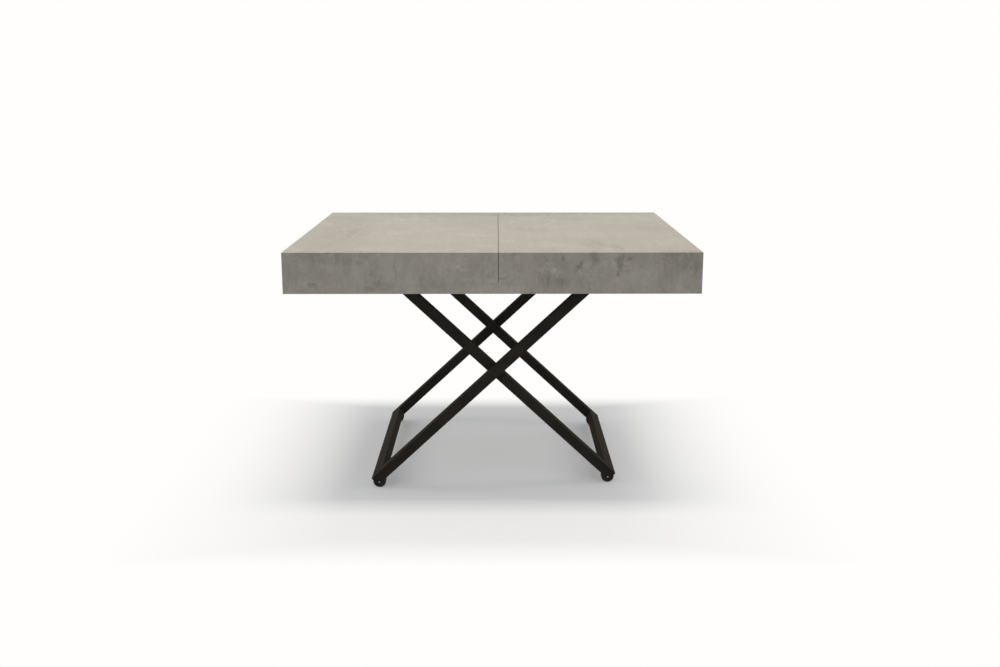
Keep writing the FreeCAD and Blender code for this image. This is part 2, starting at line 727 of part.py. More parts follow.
def slide_gear(half, hand, holes):
    """Runners of one half, the left ones in the lower channels and the right ones above."""
    shelf = "(rail_wall / 2 + runner_play)"
    if hand < 0:
        heights = ("bearer_bottom + rail_wall + runner_play", f"pivot_height - {shelf}")
    else:
        heights = (f"pivot_height + {shelf}", "bearer_top - rail_wall - runner_play")
    low, high = heights
    reach = span(hand, "-(runner_overlap)", "runner_reach")
    along = span(hand, bracket_start(hand), "bracket_far")
    under = "panel_bottom - bracket_plate"
    plate = "bracket_inner + bracket_plate"
    angle = [("runner_outer", low), (plate, low), (plate, under), ("bracket_outer", under),
             ("bracket_outer", "panel_bottom"), ("bracket_inner", "panel_bottom"),
             ("bracket_inner", high), ("runner_outer", high)]
    for end, side in SIDES.items():
        runner = box(f"{half}_runner_{end}", reach, span(side, "runner_inner", "runner_outer"), heights)
        named(runner, f"{half}_runner_{end}")
        bar = extrusion(f"{half}_bracket_bar_{end}", mirrored(side, angle), along)
        drilled = [hole for hole, spot in zip(holes, screw_spots(hand)) if spot[1].startswith(f"{side} ")]
        named(cut(f"{half}_bracket_{end}", bar, *drilled), f"{half}_bracket_{end}")


def half_top(half, hand):
    spots = screw_spots(hand)
    bore = "screw_radius + running_clearance"
    holes = [cylinder(f"{half}_screw_hole_{index}", "z", bore, SCREW_ENDS, spot)
             for index, spot in enumerate(spots)]
    boards(half, hand, holes)
    slide_gear(half, hand, holes)
    bracket_screws(half, spots)
    glue_blocks(half, hand)


for half, hand in HALVES.items():
    half_top(half, hand)
dowels = dowel_rods("dowel", "dowel_radius", about("seam_offset", "half_seam + dowel_reach"))
named(group("seam_dowels", *dowels), "seam_dowels")

# Check every object, then write each piece
doc.recompute()
faults = [item.Name for item in doc.Objects if "Invalid" in item.State or "Error" in item.State]
faults += [item.Label for item in parts if item.Shape.isNull() or not item.Shape.isValid()]
if faults:
    raise RuntimeError("failed: " + ", ".join(faults))

os.makedirs("parts", exist_ok=True)
for item in parts:
    item.Shape.exportStep(f"parts/{item.Label}.step")
print(len(parts), "pieces; top at", round(derived.top_height, 2), "mm")
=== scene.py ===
# %% [markdown]
# # A coffee table that climbs to dining height
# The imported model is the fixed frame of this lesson: every piece of the table already sits in its
# real place, in metres, and moves with its own body. The same boards and tubes could be modelled
# again by hand, but then each size would live twice. Dressing the frame keeps one truth for sizes.

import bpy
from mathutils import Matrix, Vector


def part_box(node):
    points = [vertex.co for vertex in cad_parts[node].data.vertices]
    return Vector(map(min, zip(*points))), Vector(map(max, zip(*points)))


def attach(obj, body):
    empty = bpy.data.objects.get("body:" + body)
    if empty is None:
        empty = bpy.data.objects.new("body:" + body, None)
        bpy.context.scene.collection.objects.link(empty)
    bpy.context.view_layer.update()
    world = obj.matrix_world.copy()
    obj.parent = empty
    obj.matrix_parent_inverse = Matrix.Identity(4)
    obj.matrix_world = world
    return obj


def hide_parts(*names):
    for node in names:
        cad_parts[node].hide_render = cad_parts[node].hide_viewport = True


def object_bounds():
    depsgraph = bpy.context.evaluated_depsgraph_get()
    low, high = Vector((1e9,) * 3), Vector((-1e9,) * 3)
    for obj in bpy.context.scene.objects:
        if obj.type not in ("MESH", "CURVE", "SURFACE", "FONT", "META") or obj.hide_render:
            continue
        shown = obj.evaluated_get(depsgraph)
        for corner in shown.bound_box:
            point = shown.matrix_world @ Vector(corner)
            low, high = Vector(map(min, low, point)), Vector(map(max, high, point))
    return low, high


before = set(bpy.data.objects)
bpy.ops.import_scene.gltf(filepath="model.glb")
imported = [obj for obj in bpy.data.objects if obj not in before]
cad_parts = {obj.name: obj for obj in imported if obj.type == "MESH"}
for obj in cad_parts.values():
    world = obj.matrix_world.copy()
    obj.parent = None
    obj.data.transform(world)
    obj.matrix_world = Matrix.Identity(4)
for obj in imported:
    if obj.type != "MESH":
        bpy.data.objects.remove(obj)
cad_low, cad_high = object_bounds()

# %% [markdown]
# ## Tools
# bpy is Blender itself, bmesh builds meshes point by point, and mathutils brings vectors.
# Everything random in this file comes from texture nodes, which give the same result each run.

# %% Modules
import math

import bmesh
import bpy
from mathutils import Vector

scene = bpy.context.scene
scene.view_settings.view_transform = "Standard"
print("view transform:", scene.view_settings.view_transform)

# %% [markdown]
# ## The camera
# The table was pictured from about eye level of a seated person, a little above the top, with the
# frame slid down so that the table stands high in the picture. A camera could simply be tilted
# further, but then the legs would lean. A small lens shift keeps the tilt of the real picture.

# %% Camera
IMAGE_WIDTH = 1000.0
SENSOR_WIDTH = 36.0
FOCAL_PIXELS = 880.4
CAMERA_PLACE = (0.0118, -2.8557, 1.2366)
CAMERA_PITCH = 9.567
CAMERA_TURN = 0.223
CAMERA_SHIFT = -0.1
LEVEL_VIEW = 90.0

camera_data = bpy.data.cameras.new("camera")
camera_data.sensor_width = SENSOR_WIDTH
camera_data.lens = FOCAL_PIXELS * SENSOR_WIDTH / IMAGE_WIDTH
camera_data.shift_y = CAMERA_SHIFT
camera = bpy.data.objects.new("camera", camera_data)
camera.location = CAMERA_PLACE
camera.rotation_euler = (math.radians(LEVEL_VIEW - CAMERA_PITCH), 0.0, math.radians(-CAMERA_TURN))
scene.collection.objects.link(camera)
scene.camera = camera
print("camera lens:", round(camera_data.lens, 2), "mm")

# %% [markdown]
# ## Writing materials with few words
# A finish here is a Principled shader fed by noise. Each noise needs a mapping, a range and a mix,
# and wiring those by hand hides the idea. The helper below holds one material and adds such nodes
# in one call each. All of it reads object coordinates, so the pattern moves with its piece. Noise
# keeps close to 0.5, so two ranges around that come back in most finishes.

# %% Helper for finishes
MIDDLE = (0.35, 0.65)
WIDE = (0.3, 0.7)


def tone(red, green, blue):
    """A colour picked as 0 to 255 screen values, as the linear colour that shaders expect."""
    shares = [value / 255.0 for value in (red, green, blue)]
    linear = [s / 12.92 if s <= 0.04045 else ((s + 0.055) / 1.055) ** 2.4 for s in shares]
    return (*linear, 1.0)


def plug(tree, source, socket):
    """Links a socket, or writes a plain value, into an input."""
    if isinstance(source, bpy.types.NodeSocket):
        tree.links.new(source, socket)
    else:
        socket.default_value = source


class Finish:
    """One material under construction, with short ways to add the nodes it needs."""

    def __init__(self, name, metallic=0.0, specular=0.5):
        self.material = bpy.data.materials.new(name)
        self.material.use_nodes = True
        self.tree = self.material.node_tree
        self.shader = self.tree.nodes["Principled BSDF"]
        self.shader.inputs["Metallic"].default_value = metallic
        self.shader.inputs["Specular IOR Level"].default_value = specular
        self.place = self.add("ShaderNodeTexCoord").outputs["Object"]

    def add(self, kind, **settings):
        node = self.tree.nodes.new(kind)
        for key, value in settings.items():
            setattr(node, key, value)
        return node

    def join(self, source, socket):
        plug(self.tree, source, socket)

    def noise(self, size, stretch=(1.0, 1.0, 1.0), detail=4.0, rough=0.55, bend=0.0, colour=False):
        """Clouds whose features are about size metres across, longer along stretched axes."""
        mapping = self.add("ShaderNodeMapping")
        self.join(self.place, mapping.inputs["Vector"])
        mapping.inputs["Scale"].default_value = [1.0 / (size * s) for s in stretch]
        clouds = self.add("ShaderNodeTexNoise")
        self.join(mapping.outputs["Vector"], clouds.inputs["Vector"])
        clouds.inputs["Scale"].default_value = 1.0
        clouds.inputs["Detail"].default_value = detail
        clouds.inputs["Roughness"].default_value = rough
        clouds.inputs["Distortion"].default_value = bend
        return clouds.outputs["Color" if colour else "Fac"]

    def between(self, value, low, high, to_low=0.0, to_high=1.0):
        """value from low to high, eased into to_low to to_high, and held there outside."""
        ranged = self.add("ShaderNodeMapRange", interpolation_type="SMOOTHSTEP")
        for number, socket in zip((value, low, high, to_low, to_high), ranged.inputs):
            self.join(number, socket)
        return ranged.outputs["Result"]

    def calc(self, operation, first, second=0.0, third=0.0):
        node = self.add("ShaderNodeMath", operation=operation)
        for number, socket in zip((first, second, third), node.inputs):
            self.join(number, socket)
        return node.outputs["Value"]

    def tint(self, below, above, share):
        """The colour below, covered by the colour above by that share."""
        node = self.add("ShaderNodeMix", data_type="RGBA")
        colours = [socket for socket in node.inputs if socket.type == "RGBA"]
        self.join(share, node.inputs["Factor"])
        self.join(below, colours[0])
        self.join(above, colours[1])
        return next(socket for socket in node.outputs if socket.type == "RGBA")

    def paint(self, colour, roughness):
        self.join(colour, self.shader.inputs["Base Color"])
        self.join(roughness, self.shader.inputs["Roughness"])

    def emboss(self, height, depth):
        """Bump whose full height is depth metres."""
        bump = self.add("ShaderNodeBump")
        bump.inputs["Distance"].default_value = depth
        self.join(height, bump.inputs["Height"])
        self.join(bump.outputs["Normal"], self.shader.inputs["Normal"])


print("finish helper ready")

# %% [markdown]
# ## Concrete-look laminate
# The top is chipboard under a matt printed sheet that imitates cast concrete. A picture of concrete
# could be laid on it, but it would show its tiling and its pixels. Layers of noise do it without:
# broad clouds, finer mottling, streaks that run down the skirt, pale specks and a tiny grain.
# The darker smudges and pale scrapes that catch the eye are short lists of places, and a few of the
# dark marks in them are painted shade.

# %% Where the smudges and the painted shade are
TOP = cad_high.z
FRONT = cad_low.y
SEAM = (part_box("left_panel")[1].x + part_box("right_panel")[0].x) / 2

# On the skirt: place along, depth below the top, half width, half height, lean in degrees, strength
SKIRT_SMUDGES_AND_SHADE = {
    "right_streak_head": (0.366, 0.024, 0.016, 0.028, 12, 0.82),
    "right_streak_foot": (0.363, 0.058, 0.008, 0.026, 0, 0.72),
    "right_streak_branch": (0.386, 0.018, 0.018, 0.008, -25, 0.65),
    "right_dash": (0.246, 0.042, 0.009, 0.028, 32, 0.85),
    "right_nick": (0.199, 0.018, 0.005, 0.014, 10, 0.80),
    "right_spot": (0.153, 0.018, 0.011, 0.010, 0, 0.55),
    "right_veil": (0.289, 0.014, 0.016, 0.028, 5, 0.65),
    "right_bloom": (0.157, 0.074, 0.026, 0.038, 0, 0.54),
    "right_low": (0.203, 0.083, 0.028, 0.024, 0, 0.50),
    "right_tick": (0.031, 0.075, 0.012, 0.005, 0, 0.60),
    "right_band": (0.495, 0.060, 0.030, 0.110, 0, 0.30),
    # right_end is painted shade just under the top edge at the skirt's right end
    "right_end": (0.555, 0.018, 0.110, 0.066, 0, 0.50),
    "left_scuff": (-0.514, 0.093, 0.018, 0.011, 20, 0.62),
    # left_veil is painted shade just under the top edge at the skirt's left end
    "left_veil": (-0.445, 0.008, 0.180, 0.034, 0, 0.46),
    "left_dot": (-0.344, 0.063, 0.008, 0.012, 0, 0.62),
    "left_slant": (-0.377, 0.030, 0.014, 0.008, -35, 0.42),
    "left_low": (-0.311, 0.094, 0.038, 0.024, 0, 0.52),
    "left_low_edge": (-0.348, 0.106, 0.030, 0.012, 0, 0.58),
    "left_line": (-0.278, 0.050, 0.003, 0.050, 0, 0.45),
    "left_shade": (-0.176, 0.098, 0.055, 0.018, -8, 0.18),
    "left_band": (-0.322, 0.055, 0.020, 0.030, 0, 0.28),
    "left_end": (-0.575, 0.040, 0.030, 0.090, 0, 0.25),
}
SKIRT_SCRAPES = {
    "left_scrape": (-0.092, 0.045, 0.036, 0.009, 12, 0.90),
    "left_chip": (-0.072, 0.012, 0.014, 0.012, 0, 0.80),
    "left_rub": (-0.118, 0.030, 0.045, 0.014, -10, 0.35),
    "seam_smear": (-0.003, 0.083, 0.026, 0.011, 0, 0.70),
    "seam_foot": (-0.020, 0.108, 0.055, 0.013, 0, 0.55),
    "right_crackle": (0.160, 0.044, 0.050, 0.022, 15, 0.80),
    "right_fade": (0.420, 0.070, 0.050, 0.045, 0, 0.30),
    "left_fade": (-0.495, 0.092, 0.070, 0.030, 0, 0.35),
}
# On the top: place along, place across, half sizes along and across, turn in degrees, strength
TOP_SMUDGES_AND_SHADE = {
    "right_patch": (0.300, -0.25, 0.050, 0.110, 0, 0.42),
    "right_edge": (0.362, -0.33, 0.024, 0.090, 0, 0.38),
    "right_back": (0.271, 0.27, 0.110, 0.090, 0, 0.25),
    "right_far": (0.528, 0.06, 0.060, 0.110, 0, 0.20),
    "right_near_seam": (0.119, 0.0, 0.080, 0.060, 0, 0.18),
    "left_stroke": (-0.451, -0.035, 0.022, 0.140, -5, 0.54),
    "left_back": (-0.53, 0.27, 0.090, 0.080, 0, 0.22),
    "left_haze": (-0.20, 0.29, 0.200, 0.060, 0, 0.18),
    # left_end_shade and back_shade are painted shade on the top's left end and along its back strip
    "left_end_shade": (-0.490, -0.05, 0.110, 0.400, 0, 0.24),
    "back_shade": (0.0, 0.38, 0.640, 0.090, 0, 0.52),
}
TOP_SCRAPES = {
    "left_wisp": (-0.300, 0.14, 0.150, 0.022, 5, 0.40),
    "left_near_wisp": (-0.360, -0.14, 0.120, 0.050, -15, 0.28),
    "left_wide_wisp": (-0.120, -0.20, 0.180, 0.050, 10, 0.26),
    "right_wisp": (0.170, -0.29, 0.150, 0.060, 0, 0.26),
    "right_glow": (0.220, -0.10, 0.170, 0.080, 12, 0.24),
}
MARK_DEPTH = 0.05


def on_skirt(marks):
    """The skirt's marks as centre, half sizes, turn and strength in space."""
    placed = []
    for x, drop, width, height, lean, strength in marks.values():
        turn = (0.0, math.radians(lean), 0.0)
        placed.append(((x, FRONT, TOP - drop), (width, MARK_DEPTH, height), turn, strength))
    return placed


def on_top(marks):
    """The same for the marks on the upper face."""
    placed = []
    for x, y, along, across, degrees, strength in marks.values():
        turn = (0.0, 0.0, math.radians(degrees))
        placed.append(((x, y, TOP), (along, across, MARK_DEPTH), turn, strength))
    return placed


SMUDGES_AND_SHADE = on_skirt(SKIRT_SMUDGES_AND_SHADE) + on_top(TOP_SMUDGES_AND_SHADE)
SCRAPES = on_skirt(SKIRT_SCRAPES) + on_top(TOP_SCRAPES)
print(len(SMUDGES_AND_SHADE), "smudges and", len(SCRAPES), "pale scrapes")

# %% [markdown]
# ## How a mark is drawn
# A mark in printed concrete has no outline: it frays, and inside it breaks up into flecks. It could
# be brushed onto an unwrapped sheet, but that sheet would have to be painted anew for each size.
# Here a mark is an ellipsoid in space, measured in coordinates that noise has pushed about.

# %% Frayed marks
FRAYS = ((0.034, 0.026), (0.009, 0.012))
MARK_RIM = 1.1
MARK_CORE = 0.40


def frayed_place(finish):
    """Coordinates pushed about by noise: once in wide waves and once in fine ones."""
    place = finish.place
    for size, push in FRAYS:
        wander = finish.noise(size, detail=4.0, rough=0.65, colour=True)
        shift = finish.add("ShaderNodeVectorMath", operation="MULTIPLY_ADD")
        finish.join(wander, shift.inputs[0])
        shift.inputs[1].default_value = (push,) * 3
        shift.inputs[2].default_value = (-push / 2,) * 3
        moved = finish.add("ShaderNodeVectorMath", operation="ADD")
        finish.join(place, moved.inputs[0])
        finish.join(shift.outputs["Vector"], moved.inputs[1])
        place = moved.outputs["Vector"]
    return place


def marked(finish, places, grain):
    """One mask for all the marks in places, with frayed outlines and insides broken by grain."""
    frayed = frayed_place(finish)
    mask = 0.0
    for centre, half_size, turn, strength in places:
        local = finish.add("ShaderNodeMapping", vector_type="TEXTURE")
        finish.join(frayed, local.inputs["Vector"])
        local.inputs["Location"].default_value = centre
        local.inputs["Rotation"].default_value = turn
        local.inputs["Scale"].default_value = half_size
        reach = finish.add("ShaderNodeVectorMath", operation="LENGTH")
        finish.join(local.outputs["Vector"], reach.inputs[0])
        spot = finish.between(reach.outputs["Value"], MARK_RIM, MARK_CORE, to_high=strength)
        mask = finish.calc("MAXIMUM", mask, spot)
    return finish.calc("MULTIPLY", mask, grain)


print("outlines fray by up to", [push / 2 for size, push in FRAYS], "m")

# %% [markdown]
# ## Upper face and seam
# The upper face shows a calmer print than the skirt, and painted shade darkens it along the seam.
# Its faces could carry a second material, but the imported meshes stay as they are. The height of a
# point and its distance from the seam tell the same, and they work for any mesh.

# %% Upper face and seam
UPPER_FACE = (TOP - 0.004, TOP - 0.002)
# Reach and strength of the painted shade along the seam
SEAM_SHADE_FADES = (0.0032, 0.0010)
SEAM_SHADE_STRENGTH = 0.55


def axis(finish, name):
    split = finish.add("ShaderNodeSeparateXYZ")
    finish.join(finish.place, split.inputs["Vector"])
    return split.outputs[name]


def upper_face(finish):
    return finish.between(axis(finish, "Z"), *UPPER_FACE)


def from_seam(finish):
    """Distance from the seam, along the table."""
    return finish.calc("ABSOLUTE", finish.calc("SUBTRACT", axis(finish, "X"), SEAM))


def painted_seam_shade(finish):
    """Painted shade drawn out along the seam, on the upper face only."""
    near = finish.between(from_seam(finish), *SEAM_SHADE_FADES, to_high=SEAM_SHADE_STRENGTH)
    return finish.calc("MULTIPLY", near, upper_face(finish))


print("seam at", round(SEAM, 4), "m")

# %% [markdown]
# ## Layers of the concrete
# Cast concrete is read from large to small: clouds as wide as a hand, mottling, then grain. One
# noise with much detail has all sizes too, but in fixed shares. Five layers, each with a share of
# its own, can be weighed against each other until none of them is seen alone.

# %% Concrete layers
CONCRETE_DARK = tone(169, 162, 151)
CONCRETE_LIGHT = tone(198, 190, 177)
CONCRETE_COOL = tone(170, 168, 163)
# Tone of the smudges, blotches and pores, and of the painted shade marks
CONCRETE_SMUDGE_AND_SHADE = tone(133, 127, 119)
CONCRETE_PALE = tone(214, 206, 193)
CONCRETE_TOP = tone(180, 173, 159)
# Tone of the painted shade along the seam
SEAM_SHADE_TONE = tone(96, 91, 84)
# Size, stretch along x, y and z, detail, roughness, bend, and share in the shade
CONCRETE_LAYERS = {
    "clouds": (0.42, (1.0, 1.0, 1.0), 3.0, 0.55, 0.4, 0.65),
    "mottle": (0.080, (1.0, 1.0, 1.0), 7.0, 0.68, 0.2, 0.70),
    "patches": (0.024, (1.0, 1.0, 1.5), 6.0, 0.72, 0.0, 0.45),
    "streaks": (0.030, (1.0, 5.0, 9.0), 5.0, 0.60, 0.0, 0.45),
    "fine": (0.008, (1.0, 2.0, 3.0), 5.0, 0.75, 0.0, 0.60),
}


def concrete_layers(finish):
    """The layers by name, and their weighed sum."""
    layers = {}
    shade = 0.0
    for name, (size, stretch, detail, rough, bend, share) in CONCRETE_LAYERS.items():
        layers[name] = finish.noise(size, stretch, detail, rough, bend)
        shade = finish.calc("MULTIPLY_ADD", layers[name], share, shade)
    return layers, shade


print("concrete has", len(CONCRETE_LAYERS), "layers")

# %% Wear on the concrete
TOP_CALM = 0.45
PORE_STRENGTH = 0.5


def weathered(finish, colour):
    """Adds cool patches, dark blotches and the calmer print of the upper face."""
    cool = finish.noise(size=0.20, detail=3.0, bend=0.6)
    colour = finish.tint(colour, CONCRETE_COOL, finish.between(cool, 0.55, 0.70, to_high=0.25))
    blotch = finish.noise(size=0.055, stretch=(1.0, 1.0, 1.3), detail=8.0, rough=0.72, bend=0.4)
    colour = finish.tint(colour, CONCRETE_SMUDGE_AND_SHADE, finish.between(blotch, 0.57, 0.72, to_high=0.42))
    return finish.tint(colour, CONCRETE_TOP, finish.calc("MULTIPLY", upper_face(finish), TOP_CALM))


def trowelled(finish, colour):
    """Adds the pale ridges that a trowel leaves: thin lines where a noise crosses its middle."""
    sweep = finish.noise(size=0.10, stretch=(1.4, 1.0, 1.0), detail=6.0, rough=0.65, bend=0.5)
    from_ridge = finish.calc("ABSOLUTE", finish.calc("SUBTRACT", sweep, 0.5))
    patchy = finish.between(finish.noise(size=0.16, detail=2.0), 0.48, 0.60, to_high=0.25)
    ridges = finish.calc("MULTIPLY", finish.between(from_ridge, 0.030, 0.006), patchy)
    return finish.tint(colour, CONCRETE_PALE, ridges)


def smudged(finish, colour):
    """Adds the listed smudges and painted shade, and the scrapes, broken into flecks and chalky
    crumbs.
    """
    flecks = finish.noise(size=0.018, stretch=(1.0, 1.0, 1.5), detail=9.0, rough=0.86, bend=0.2)
    dirt_and_shade = marked(finish, SMUDGES_AND_SHADE, finish.between(flecks, 0.40, 0.60, to_low=0.10, to_high=1.15))
    # Smudges and painted shade share one mask
    colour = finish.tint(colour, CONCRETE_SMUDGE_AND_SHADE, dirt_and_shade)
    chalk = finish.noise(size=0.009, stretch=(1.6, 1.0, 1.0), detail=8.0, rough=0.85, bend=0.3)
    rubbed = marked(finish, SCRAPES, finish.between(chalk, 0.47, 0.62, to_low=0.05, to_high=1.1))
    return finish.tint(colour, CONCRETE_PALE, rubbed)


def speckled(finish, colour, pores):
    """Adds crowds of pale specks, and dark pores."""
    crowd = finish.between(finish.noise(size=0.10, detail=2.0), 0.45, 0.60)
    specks = finish.between(finish.noise(size=0.0055, detail=2.0), 0.62, 0.70, to_high=0.5)
    colour = finish.tint(colour, CONCRETE_PALE, finish.calc("MULTIPLY", specks, crowd))
    return finish.tint(colour, CONCRETE_SMUDGE_AND_SHADE, finish.calc("MULTIPLY", pores, PORE_STRENGTH))


print("wear runs from", tuple(round(value, 3) for value in CONCRETE_SMUDGE_AND_SHADE[:3]),
      "to", tuple(round(value, 3) for value in CONCRETE_PALE[:3]))

# %% Concrete finish
SHADE_RANGE = (1.12, 1.73)
PORE_DEPTH = -0.8


def concrete_laminate():
    finish = Finish("concrete_laminate", specular=0.3)
    layers, shade = concrete_layers(finish)
    colour = finish.tint(CONCRETE_DARK, CONCRETE_LIGHT, finish.between(shade, *SHADE_RANGE))
    colour = smudged(finish, trowelled(finish, weathered(finish, colour)))
    pores = finish.between(finish.noise(size=0.0040, detail=1.0), 0.31, 0.25)
    colour = speckled(finish, colour, pores)
    # Painted shade along the seam on the upper face
    colour = finish.tint(colour, SEAM_SHADE_TONE, painted_seam_shade(finish))
    finish.paint(colour, finish.between(layers["mottle"], *MIDDLE, to_low=0.54, to_high=0.68))
    grain = finish.noise(size=0.0012, detail=2.0)
    finish.emboss(finish.calc("MULTIPLY_ADD", pores, PORE_DEPTH, grain), depth=0.00012)
    return finish.material


print("concrete finish defined")

# %% [markdown]
# ## Edge of the laminate
# Where the printed sheet is folded over a corner it is eased with a fine stone, so the paper under
# the print shows as a hair of lighter grey, and this pale hair is also a painted highlight. It could
# be painted as a line in the concrete finish, but the bevel modifier can hand its new faces to a
# second material, which is exact everywhere. The same faces carry painted shade in the seam and
# along the skirt's foot.

# %% Worn edge finish
# Pale edge tones: partly worn paper, partly a painted highlight
EDGE_DARK = tone(180, 173, 162)
EDGE_LIGHT = tone(203, 196, 184)
EDGE_WEAR_AND_HIGHLIGHT = (0.35, 0.6)
# Painted shade in the seam: its tone, its reach from the seam, and where it eases near the foot
EDGE_SEAM_SHADE = tone(66, 62, 57)
SEAM_REACH = 0.003
SEAM_SHADE_ENDS = (TOP - 0.107, TOP - 0.102)
SEAM_SHADE_AT_FOOT = 0.85
# Painted shade on the bevel along the skirt's foot
EDGE_SHADY = tone(118, 110, 102)
SHADY_FOOT = (TOP - 0.117, TOP - 0.118)


def eased_edge():
    """Paler edges, partly worn paper and partly a painted highlight, with painted shade along the
    skirt's foot and in the seam where the two halves meet.
    """
    finish = Finish("eased_edge", specular=0.3)
    # Paler edges: partly worn paper, partly a painted highlight
    wear = finish.noise(size=0.02, detail=5.0, rough=0.7)
    colour = finish.tint(EDGE_DARK, EDGE_LIGHT, finish.between(wear, *EDGE_WEAR_AND_HIGHLIGHT))
    # Painted shade in the seam where the two halves meet, a little weaker near the skirt's foot
    at_seam = finish.between(from_seam(finish), SEAM_REACH, SEAM_REACH / 2)
    above_foot = finish.between(axis(finish, "Z"), *SEAM_SHADE_ENDS, to_low=SEAM_SHADE_AT_FOOT)
    seam_shade = finish.calc("MULTIPLY", at_seam, above_foot)
    # Painted shade on the lower edge of the skirt
    at_foot = finish.between(axis(finish, "Z"), *SHADY_FOOT)
    colour = finish.tint(colour, EDGE_SHADY, at_foot)
    finish.paint(finish.tint(colour, EDGE_SEAM_SHADE, seam_shade), roughness=0.6)
    finish.emboss(finish.noise(size=0.0015, detail=2.0), depth=0.00005)
    return finish.material


print("edge finish defined")

# %% [markdown]
# ## Powder-coated steel
# The legs are square tube under a near-black powder coat with a fine satin texture. A plain black
# would look like a hole. The coat has a hint of brown, a roughness that drifts along the tube and
# the orange peel that melted powder leaves, which catches light on the upward faces.

# %% Powder coat finish
COAT_DEEP = tone(48, 44, 40)
COAT_DUSTY = tone(61, 56, 50)


def powder_coat():
    finish = Finish("powder_coat", specular=0.02)
    drift = finish.noise(size=0.11, detail=4.0, rough=0.6)
    peel = finish.noise(size=0.0016, detail=2.0)
    fine = finish.noise(size=0.0005, detail=1.0)
    dust = finish.between(finish.calc("MULTIPLY_ADD", peel, 0.25, drift), 0.42, 0.85)
    satin = finish.between(drift, *MIDDLE, to_low=0.66, to_high=0.80)
    finish.paint(finish.tint(COAT_DEEP, COAT_DUSTY, dust), satin)
    finish.emboss(finish.calc("MULTIPLY_ADD", fine, 0.35, peel), depth=0.00007)
    return finish.material


print("powder coat defined")

# %% [markdown]
# ## Bare metals
# Rods, screws and brackets are zinc plated: bright, slightly blue and cloudy. The slide rails are
# extruded aluminium, with die lines along their length. One metal for all would be simpler, but
# the two sit side by side under the top, and the eye tells them apart by those lines.

# %% Zinc and aluminium finishes
ZINC_DULL = tone(138, 140, 142)
ZINC_BRIGHT = tone(176, 177, 176)
ALUMINIUM_DULL = tone(186, 187, 188)
ALUMINIUM_BRIGHT = tone(214, 214, 214)


def zinc_plate():
    finish = Finish("zinc_plate", metallic=1.0)
    cloud = finish.noise(size=0.012, detail=5.0, rough=0.6)
    scratch = finish.noise(size=0.0008, stretch=(1.0, 6.0, 6.0), detail=2.0)
    colour = finish.tint(ZINC_DULL, ZINC_BRIGHT, finish.between(cloud, *MIDDLE))
    finish.paint(colour, finish.between(scratch, *WIDE, to_low=0.32, to_high=0.48))
    finish.emboss(scratch, depth=0.00001)
    return finish.material


def drawn_aluminium():
    finish = Finish("drawn_aluminium", metallic=1.0)
    die_lines = finish.noise(size=0.0009, stretch=(400.0, 1.0, 1.0), detail=3.0)
    cloud = finish.noise(size=0.06, stretch=(4.0, 1.0, 1.0), detail=4.0)
    colour = finish.tint(ALUMINIUM_DULL, ALUMINIUM_BRIGHT, finish.between(cloud, *MIDDLE))
    finish.paint(colour, finish.between(die_lines, *WIDE, to_low=0.30, to_high=0.46))
    finish.emboss(die_lines, depth=0.00002)
    return finish.material


print("metal finishes defined")

# %% [markdown]
# ## Moulded nylon
# Wheels, knuckles and sleeves are injection-moulded nylon, black with the fine spark grain of the
# mould, and scuffed to grey where they rub. The steel's coat could serve for them too, but the two
# blacks lie side by side at each foot, and the nylon is the cooler and shinier one.

# %% Nylon finish
NYLON_DEEP = tone(24, 24, 25)
NYLON_SCUFFED = tone(46, 46, 47)


def black_nylon():
    finish = Finish("moulded_nylon", specular=0.35)
    rubbed = finish.noise(size=0.008, detail=5.0, rough=0.7)
    scuff = finish.between(rubbed, 0.52, 0.72, to_high=0.7)
    grain = finish.noise(size=0.0006, detail=2.0)
    colour = finish.tint(NYLON_DEEP, NYLON_SCUFFED, scuff)
    finish.paint(colour, finish.between(grain, *WIDE, to_low=0.46, to_high=0.62))
    finish.emboss(grain, depth=0.00004)
    return finish.material


print("nylon finish defined")

# %% [markdown]
# ## Beech and felt
# Dowels and corner blocks are raw beech: pale, with a straight grain and the short dark flecks that
# name the wood at once. The stored leaf lies on grey needle felt, a mat of fibres without a weave.
# A wave texture would suit wood or cloth, but it looks drawn with a ruler. Stretched noise gives
# the grain, and two such noises across each other give the felt.

# %% Beech and felt finishes
BEECH_PALE = tone(212, 184, 150)
BEECH_DEEP = tone(188, 155, 118)
BEECH_FLECK = tone(146, 110, 78)
FELT_DARK = tone(92, 93, 95)
FELT_PALE = tone(146, 147, 148)


def raw_beech():
    finish = Finish("raw_beech", specular=0.3)
    rings = finish.noise(size=0.007, stretch=(14.0, 1.0, 1.0), detail=5.0, bend=0.3)
    dashes = finish.noise(size=0.0011, stretch=(5.0, 1.0, 1.0), detail=1.0)
    flecks = finish.between(dashes, 0.66, 0.74, to_high=0.8)
    colour = finish.tint(BEECH_PALE, BEECH_DEEP, finish.between(rings, *MIDDLE))
    colour = finish.tint(colour, BEECH_FLECK, flecks)
    finish.paint(colour, finish.between(rings, *WIDE, to_low=0.55, to_high=0.7))
    finish.emboss(rings, depth=0.00008)
    return finish.material


def needle_felt():
    finish = Finish("needle_felt", specular=0.1)
    along = finish.noise(size=0.0007, stretch=(7.0, 1.0, 1.0), detail=3.0)
    across = finish.noise(size=0.0007, stretch=(1.0, 7.0, 1.0), detail=3.0)
    fibres = finish.calc("MAXIMUM", along, across)
    colour = finish.tint(FELT_DARK, FELT_PALE, finish.between(fibres, 0.42, 0.70))
    finish.paint(colour, roughness=0.95)
    finish.shader.inputs["Sheen Weight"].default_value = 0.4
    finish.shader.inputs["Sheen Roughness"].default_value = 0.6
    finish.emboss(fibres, depth=0.0004)
    return finish.material


print("beech and felt finishes defined")

